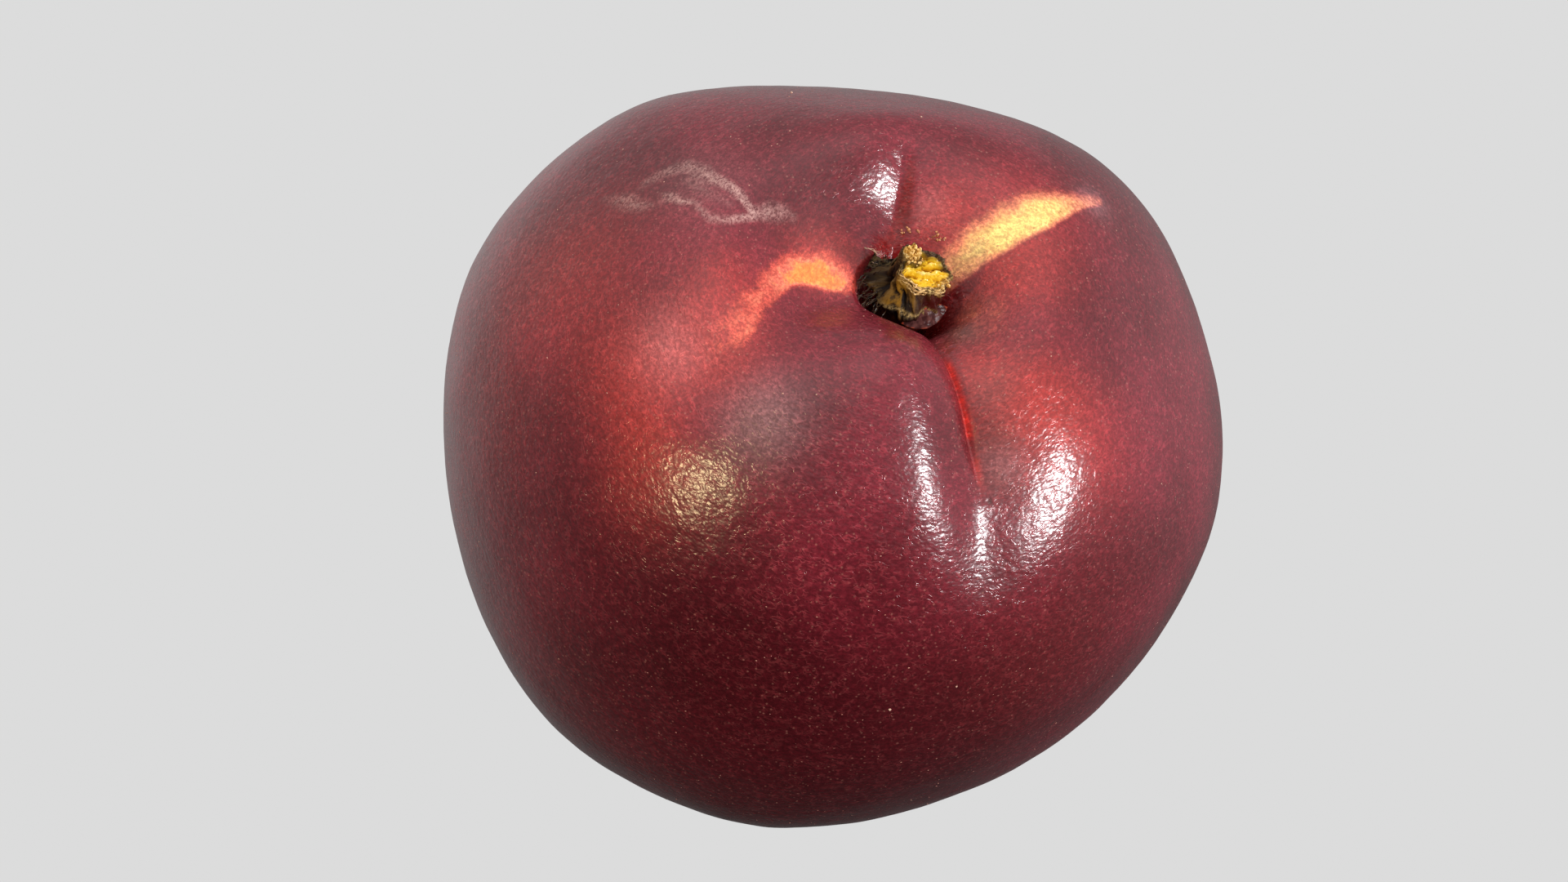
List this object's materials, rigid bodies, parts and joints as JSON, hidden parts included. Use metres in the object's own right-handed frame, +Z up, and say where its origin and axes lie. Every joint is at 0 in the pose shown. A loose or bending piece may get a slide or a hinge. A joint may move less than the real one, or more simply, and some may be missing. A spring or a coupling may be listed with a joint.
{
  "type": "nectarine",
  "caption": "Whole ripe nectarine with a deep stem cavity, a suture groove and the broken stub of its stem, resting on a small flat spot.",
  "frame": {"origin": "on the flat rest spot, straight below the fruit's centre", "axes": "+Z up from the surface it rests on, -Y towards the side with the suture, and the stem end leans towards +X"},
  "size_m": [0.0688, 0.0656, 0.0633],
  "materials": {
    "skin": "satin",
    "stem": "satin"
  },
  "bodies": {
    "root": {"fruit": "skin", "stem": "stem"}
  },
  "joints": []
}
